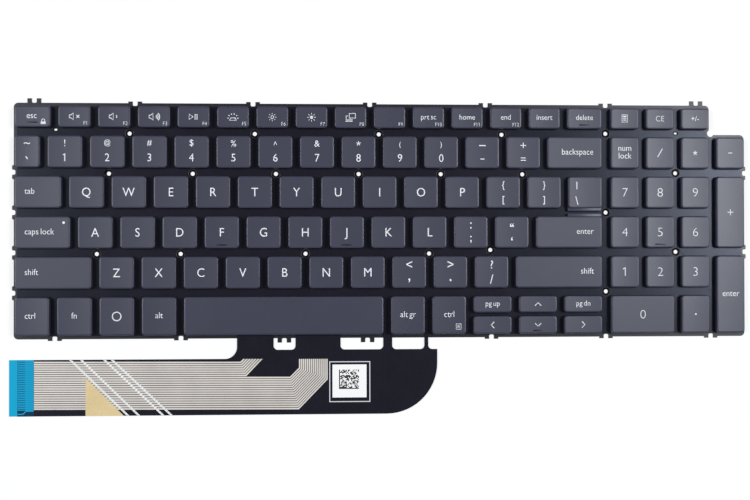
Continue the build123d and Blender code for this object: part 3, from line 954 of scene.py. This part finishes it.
def lettering(text, em, x, y, align="CENTER", thinning=0.0, squeeze=LETTER_SQUEEZE):
    """Lettering of a given em size in millimetres, with its baseline at y."""
    face = bpy.data.curves.new("lettering", "FONT")
    face.body = text
    face.size = em * mm
    face.align_x = align
    face.resolution_u = 3
    face.extrude = INK_THICKNESS / 2
    face.offset = -thinning * mm
    face.space_word = WORD_SPACE
    mark = new_object("lettering", face)
    mark.location = (x, y, CAP_TOP + INK_THICKNESS / 2)
    mark.scale = (squeeze, 1, 1)
    marks = [mark]
    if text.strip("F0123456789") == "":
        steps = [CAPITAL_F_STEP if letter == "F" else FIGURE_STEP for letter in text]
        start = {"CENTER": -sum(steps) / 2, "RIGHT": -sum(steps)}[align]
        for order, letter in enumerate(text):
            if letter == "1":
                stem = x + (start + sum(steps[:order]) + STEM_SHIFT) * em * mm * squeeze
                marks.append(stroke(FLAG, stem, y, em * mm, FLAG_WIDTH))
    return marks


def figures(text, height, x, y, thinning=0.0, squeeze=LETTER_SQUEEZE):
    """Capitals or figures of a height in millimetres, with their middle at a place."""
    em = height / CAPITAL_SHARE
    return lettering(text, em, x, y - height * mm / 2, thinning=thinning, squeeze=squeeze)


def words(text, height, x, y, align="CENTER"):
    """Small letters of a height in millimetres, with their middle at a place."""
    return lettering(text, height / LOWER_CASE_SHARE, x, y - height * mm / 2, align, THINNING)


SIGN_REACH = {
    "~": (0.189, 0.345), "`": (0.507, 0.654), "!": (0, 0.69), "@": (-0.21, 0.729), "#": (-0.081, 0.617),
    "$": (-0.118, 0.691), "%": (0, 0.69), "^": (0.291, 0.682), "&": (0, 0.669),
    "(": (-0.23, 0.694), ")": (-0.23, 0.694), "{": (-0.21, 0.728), "[": (-0.221, 0.682), "}": (-0.21, 0.728),
    "]": (-0.221, 0.682), "\\": (0, 0.69), ":": (0, 0.458), ";": (-0.115, 0.458),
    "<": (0.111, 0.597), ",": (-0.118, 0.123), ">": (0.111, 0.597), ".": (0, 0.111), "?": (0, 0.69),
    "/": (0, 0.69),
}


def sign(mark, height, x, y):
    """A punctuation mark of a height in millimetres, with its middle at a place."""
    low, high = SIGN_REACH[mark]
    em = height / (high - low)
    return lettering(mark, em, x, y - em * mm * (low + high) / 2)


def quote_mark(x, y):
    """A comma turned half round."""
    low, high = SIGN_REACH[","]
    em = QUOTE_HEIGHT / (high - low)
    mark, = lettering(",", em, x, y + em * mm * (low + high) / 2)
    mark.rotation_euler.z = math.pi
    return mark


# Signs of a key, each with its height and its rise above the cap's middle
PAIRS = {
    "backquote": [("~", 0.85, 3.6), ("`", 1.2, -2.9)], "1": [("!", 3.05, 3.84)], "2": [("@", 3.1, 3.84)],
    "3": [("#", 2.7, 3.84)], "4": [("$", 3.3, 3.84)], "5": [("%", 2.9, 3.84)], "6": [("^", 1.5, 3.9)],
    "7": [("&", 2.8, 3.84)], "9": [("(", 2.95, 3.3)], "0": [(")", 2.95, 3.3)],
    "left_bracket": [("{", 4.0, 3.05), ("[", 3.8, -3.6)],
    "right_bracket": [("}", 4.0, 3.05), ("]", 3.8, -3.6)],
    "backslash": [("\\", 3.8, -3.7)], "semicolon": [(":", 2.8, 3.05), (";", 3.3, -3.3)],
    "comma": [("<", 2.95, 3.5), (",", 1.8, -3.7)], "period": [(">", 2.95, 3.5), (".", 0.9, -3.6)],
    "slash": [("?", 3.6, 3.4), ("/", 4.1, -3.15)],
}
QUOTE_HEIGHT = 1.7
QUOTE_PLACES = [(-0.5, 3.15), (0.5, 3.15), (0, -3.0)]
STAR_RISE = 3.9
BACKSLASH_INSET = 3.8
BROKEN_BAR_RISE = 3.1
LEFT_WORD_INSET = 4.4
RIGHT_WORD_INSET = 3.8
ESCAPE_SHIFT = 0.3
NUM_LOCK_RISE = 1.75
SIGN_CHANGE_EM = 3.4
SIGN_CHANGE_DROP = 1.1
TINY_INSET_X = 1.0
TINY_INSET_Y = 0.9
FIGURE_DROP = 2.6
LEFT_WORDS = {"tab": "tab", "caps_lock": "caps lock", "left_shift": "shift", "left_ctrl": "ctrl"}
RIGHT_WORDS = {"enter": "enter", "right_shift": "shift", "backspace": "backspace"}
MIDDLE_WORDS = {"fn": "fn", "left_alt": "alt", "alt_gr": "alt gr", "right_ctrl": "ctrl", "pad_enter": "enter"}
SMALL_WORDS = {"f10": "prt sc", "f11": "home", "f12": "end", "insert": "insert", "delete": "delete",
               "page_up": "pg up", "page_down": "pg dn"}
CHEVRON = [(-0.7, 1.4), (0.7, 0), (-0.7, -1.4)]
CHEVRON_TURNS = {"arrow_left": 180, "arrow_down": 270, "arrow_right": 0, "arrow_up": 90}
SPEAKER = [(-2.2, -0.65), (-1.5, -0.65), (-0.45, -1.5), (-0.45, 1.5), (-1.5, 0.65), (-2.2, 0.65)]


def circle(radius, count=16):
    turns = [2 * math.pi * order / count for order in range(count)]
    return [(radius * math.cos(turn), radius * math.sin(turn)) for turn in turns]


def arc(radius, first, last, count=8):
    turns = [math.radians(first + (last - first) * order / count) for order in range(count + 1)]
    return [(radius * math.cos(turn), radius * math.sin(turn)) for turn in turns]


def ray(near, far, degrees):
    turn = math.radians(degrees)
    return [(near * math.cos(turn), near * math.sin(turn)), (far * math.cos(turn), far * math.sin(turn))]


def bar(length, rise=0):
    return [(-length / 2, rise), (length / 2, rise)]


def box(wide, high):
    return [(-wide / 2, -high / 2), (wide / 2, -high / 2), (wide / 2, high / 2), (-wide / 2, high / 2)]


def sun(x, y, radius, reach):
    rays = [stroke(ray(radius + 0.62, reach, 45 * turn), x, y, width=0.26) for turn in range(8)]
    return [stroke(circle(radius), x, y, width=0.3, closed=True), *rays]


def function_sign(name, x, y):
    """The small sign in the middle of a function key."""
    marks = []
    if name in ("f1", "f2", "f3"):
        x += 0.3 * mm
        marks.append(stroke(SPEAKER, x - 0.2 * mm, y, closed=True))
    if name == "f1":
        marks += [stroke([(0.7, -0.65), (2.0, 0.65)], x, y), stroke([(0.7, 0.65), (2.0, -0.65)], x, y)]
    if name in ("f2", "f3"):
        marks.append(stroke(arc(0.9, -45, 45), x, y))
    if name == "f3":
        marks += [stroke(arc(radius, -45, 45), x, y) for radius in (1.6, 2.3)]
    if name == "f4":
        marks.append(stroke([(-1.9, -1.2), (-1.9, 1.2), (-0.1, 0)], x, y, closed=True))
        marks += [stroke([(stem, -1.25), (stem, 1.25)], x, y, width=0.38) for stem in (0.75, 1.6)]
    if name == "f5":
        foot_y = y - 0.9 * mm
        lamp = [(-1.5, -0.6), (-1.0, 0.5), (1.0, 0.5), (1.5, -0.6)]
        marks.append(stroke(lamp, x, foot_y, width=0.38, closed=True))
        marks += [stroke(ray(1.95, 2.55, 10 + 32 * turn), x, foot_y) for turn in range(6)]
    if name == "f6":
        marks += sun(x, y, 0.6, 1.8)
    if name == "f7":
        marks += sun(x, y, 0.6, 1.95)
        marks.append(stroke(circle(0.25), x, y, width=0.5, closed=True))
    if name == "f8":
        marks.append(stroke([(-0.6, -0.3), (2.2, -0.3), (2.2, 1.8), (-0.6, 1.8)], x, y, closed=True))
        marks.append(stroke([(-1.2, 0.7), (-2.0, 0.7), (-2.0, -1.1), (0.6, -1.1), (0.6, -0.8)], x, y))
        marks.append(stroke([(-2.3, -1.7), (0.9, -1.7)], x, y))
    return marks


def bottom_row_sign(name, x, y, x1, y0):
    """The round mark of the system key and the small menu mark of the right control key."""
    if name == "system":
        return [stroke(circle(1.9, 28), x, y, width=0.5, closed=True)]
    if name == "right_ctrl":
        menu_x, menu_y = x1 - 3.4 * mm, y0 + 3.3 * mm
        rungs = [stroke(bar(1.2, rise), menu_x, menu_y, width=0.26) for rise in (-0.6, 0, 0.6)]
        return [stroke(box(2.2, 2.5), menu_x, menu_y, width=0.3, closed=True), *rungs]
    return []


def upper_row_sign(name, x, y, x1, y0):
    """Lock on the escape key, calculator, and the strokes of the minus and equals keys."""
    if name == "esc":
        lock_x, lock_y = x1 - 3.1 * mm, y0 + 2.45 * mm
        bow = [(-0.7, 0), (-0.6, 0.75), (0, 1.2), (0.6, 0.75), (0.7, 0)]
        return [stroke(bar(2.2, -0.65), lock_x, lock_y, width=1.2), stroke(bow, lock_x, lock_y, width=0.36)]
    if name == "calculator":
        keys = [stroke(bar(1.5, rise), x, y, width=0.36) for rise in (-0.1, -0.75)]
        case = stroke(box(2.5, 3.3), x, y, width=0.36, closed=True)
        return [case, stroke(bar(1.5, 0.85), x, y, width=0.7), *keys]
    if name == "minus":
        return [stroke(bar(3.0), x, y + 3.1 * mm, width=0.5), stroke(bar(1.9), x, y - 3.0 * mm, width=0.45)]
    if name == "equals":
        lines = [stroke(bar(2.4, rise), x, y - 3.0 * mm, width=0.42) for rise in (-0.55, 0.55)]
        return plus_sign(x, y + 3.2 * mm, 2.5, 0.42) + lines
    return []


def asterisk(x, y):
    return [stroke(ray(0, 1.0, 90 + 72 * turn), x, y) for turn in range(5)]


def plus_sign(x, y, length, width):
    stem = [(0, -length / 2), (0, length / 2)]
    return [stroke(points, x, y, width=width) for points in (bar(length), stem)]


def keypad_sign(name, x, y):
    if name[4:].isdigit():
        return figures(name[4:], PAD_FIGURE_HEIGHT, x, y, PAD_THINNING, PAD_SQUEEZE)
    if name == "pad_divide":
        return [stroke([(-1.1, -1.9), (1.1, 1.9)], x, y)]
    if name == "pad_multiply":
        return asterisk(x, y)
    if name == "pad_minus":
        return [stroke(bar(1.9), x, y, width=0.36)]
    if name == "pad_plus":
        return plus_sign(x, y, 2.7, 0.36)
    if name == "pad_point":
        return [stroke(bar(0.75), x, y, width=0.75)]
    return []


def legend_of(name):
    x0, y0, x1, _ = cap_tops[name]
    x, y = key_middle(name)
    marks = upper_row_sign(name, x, y, x1, y0) + bottom_row_sign(name, x, y, x1, y0)
    if len(name) == 1 and name.isalpha():
        marks += figures(name.upper(), LETTER_HEIGHT, x, y, THINNING)
    if len(name) == 1 and name.isdigit():
        marks += figures(name, FIGURE_HEIGHT, x, y - FIGURE_DROP * mm, THINNING)
    if name in PAIRS:
        pair_x = x - BACKSLASH_INSET * mm if name == "backslash" else x
        for mark, height, rise in PAIRS[name]:
            marks += sign(mark, height, pair_x, y + rise * mm)
    if name == "backslash":
        marks.append(stroke([(0, -1.75), (0, 1.75)], pair_x, y + BROKEN_BAR_RISE * mm, width=0.42))
    if name == "8":
        marks += asterisk(x, y + STAR_RISE * mm)
    if name == "quote":
        marks += [quote_mark(x + shift * mm, y + rise * mm) for shift, rise in QUOTE_PLACES]
    if name in LEFT_WORDS:
        marks += words(LEFT_WORDS[name], WORD_HEIGHT, x0 + LEFT_WORD_INSET * mm, y, "LEFT")
    if name in RIGHT_WORDS:
        marks += words(RIGHT_WORDS[name], WORD_HEIGHT, x1 - RIGHT_WORD_INSET * mm, y, "RIGHT")
    if name in MIDDLE_WORDS:
        marks += words(MIDDLE_WORDS[name], WORD_HEIGHT, x, y)
    if name in SMALL_WORDS:
        marks += words(SMALL_WORDS[name], SMALL_WORD_HEIGHT, x, y)
    if name == "esc":
        marks += words("esc", WORD_HEIGHT, x - ESCAPE_SHIFT * mm, y)
    if name == "num_lock":
        marks += words("num", WORD_HEIGHT, x, y + NUM_LOCK_RISE * mm)
        marks += words("lock", WORD_HEIGHT, x, y - NUM_LOCK_RISE * mm)
    if name == "clear_entry":
        marks += figures("CE", CLEAR_ENTRY_HEIGHT, x, y, CLEAR_ENTRY_THINNING)
    if name == "plus_minus":
        marks += lettering("+/-", SIGN_CHANGE_EM, x, y - SIGN_CHANGE_DROP * mm)
    if name.startswith("pad_"):
        marks += keypad_sign(name, x, y)
    if name[0] == "f" and name[1:].isdigit():
        marks += function_sign(name, x, y)
        marks += lettering(name.upper(), TINY_HEIGHT / CAPITAL_SHARE, x1 - TINY_INSET_X * mm,
                           y0 + TINY_INSET_Y * mm, "RIGHT", TINY_THINNING)
    if name in CHEVRON_TURNS:
        turn = math.radians(CHEVRON_TURNS[name])
        across, along = math.cos(turn), math.sin(turn)
        marks.append(stroke([(a * across - b * along, a * along + b * across) for a, b in CHEVRON], x, y))
    return marks


legends = {name: legend_of(name) for name in cap_tops}
only(*(mark for marks in legends.values() for mark in marks))
bpy.ops.object.convert(target="MESH")
for name, marks in legends.items():
    for mark in marks:
        mark.data.materials.clear()
        mark.data.materials.append(legend_ink)
    joined([*marks, *cap_extras(name), caps[name]])
    press_dish(name)
for name in SPRUNG:
    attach(caps[name], f"key_{name}")
    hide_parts(f"key_{name}")
for node, names in GROUPED.items():
    group = joined([caps[name] for name in names], node.replace("_caps", "_keys"))
    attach(group, "base")
    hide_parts(node)
drop(*cap_models.values(), *pens.values())

# Caps lock light
# A short clear light pipe pressed into the caps lock cap, flush with its top.
LENS_TOP = CAP_TOP - 0.03 * mm
LENS_RADIUS_SHARE = 0.55
LENS_SIDES = 20
LENS_EDGE = 0.08 * mm
clear_pipe = grained("clear_pipe", (0.97, 0.97, 0.98), 0.03, 3000, 0.4, 0.1, 0.002 * mm)
low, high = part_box("caps_lock_lens")
lens = drum(LENS_SIDES, LENS_RADIUS_SHARE * (high.x - low.x), (low.x + high.x) / 2, (low.y + high.y) / 2,
            low.z, LENS_TOP)
lens.name = lens.data.name = "caps_lock_light"
bevel(lambda e: creased(e, 60) and middle(e).z > LENS_TOP - NEAR, LENS_EDGE)
finish_piece(lens, "key_caps_lock", "light_lens", clear_pipe)
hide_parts("caps_lock_lens")

# Studio
# A plain white floor under broad soft lamps, the stronger one on the right, and a camera high above.
LAMPS = [("right_lamp", (0.62, 0.12, 1.0), 0.35, 8.0), ("left_lamp", (-0.70, 0.08, 1.0), 0.35, 6.4)]
LAMP_TINT = (0.93, 0.96, 1.0)
WORLD_LIGHT = 0.18
FLOOR_SIZE = 6
FLOOR_DROP = 0.1 * mm
FLOOR_WHITE = (0.95, 0.95, 0.95, 1)
FLOOR_GLOW = 1.06
GLOW_SHARE = 0.7
SENSOR_WIDTH = 36
FOCAL_LENGTH = 57.6
CAMERA_PLACE = (-0.03086, -0.01794, 0.54427)
CAMERA_TURNS = (0.502, -2.803, -0.109)


def seen_white(tree):
    """1 for what the camera, a reflection or clear plastic sees directly."""
    path = tree.nodes.new("ShaderNodeLightPath")
    total = path.outputs["Is Camera Ray"]
    for kind in ("Is Glossy Ray", "Is Transmission Ray"):
        total = math_node(tree, "MAXIMUM", total, path.outputs[kind])
    return total


def blend_to(tree, output, share, first, second):
    """Sends a blend of two shaders to an output node."""
    blend = tree.nodes.new("ShaderNodeMixShader")
    for socket, source in zip(blend.inputs, (share, first, second)):
        tree.links.new(source, socket)
    tree.links.new(blend.outputs[0], tree.nodes[output].inputs["Surface"])


bpy.ops.mesh.primitive_plane_add(size=FLOOR_SIZE, location=(0, 0, -FLOOR_DROP))
floor = bpy.context.object
floor.name = "floor"
paper = bpy.data.materials.new("white_paper")
paper.use_nodes = True
tree = paper.node_tree
card = tree.nodes["Principled BSDF"]
fill(card, Base_Color=FLOOR_WHITE, Roughness=0.9, Specular_IOR_Level=0)
glow = tree.nodes.new("ShaderNodeEmission")
fill(glow, Strength=FLOOR_GLOW)
share = math_node(tree, "MULTIPLY", seen_white(tree), GLOW_SHARE)
blend_to(tree, "Material Output", share, card.outputs[0], glow.outputs[0])
floor.data.materials.append(paper)

world = bpy.data.worlds.new("studio")
bpy.context.scene.world = world
world.use_nodes = True
tree = world.node_tree
soft = tree.nodes["Background"]
fill(soft, Strength=WORLD_LIGHT)
white = tree.nodes.new("ShaderNodeBackground")
for back in (soft, white):
    fill(back, Color=(1, 1, 1, 1))
camera_ray = tree.nodes.new("ShaderNodeLightPath").outputs["Is Camera Ray"]
blend_to(tree, "World Output", camera_ray, soft.outputs[0], white.outputs[0])

for name, place, size, power in LAMPS:
    lamp = bpy.data.lights.new(name, "AREA")
    lamp.shape = "SQUARE"
    lamp.size = size
    lamp.energy = power
    lamp.color = LAMP_TINT
    holder = new_object(name, lamp)
    holder.location = place
    holder.rotation_euler = (-holder.location).to_track_quat("-Z", "Y").to_euler()

lens_data = bpy.data.cameras.new("camera")
lens_data.sensor_width = SENSOR_WIDTH
lens_data.lens = FOCAL_LENGTH
camera = new_object("camera", lens_data)
camera.location = CAMERA_PLACE
camera.rotation_euler = [math.radians(turn) for turn in CAMERA_TURNS]
bpy.context.scene.camera = camera
bpy.context.scene.view_settings.view_transform = "Standard"
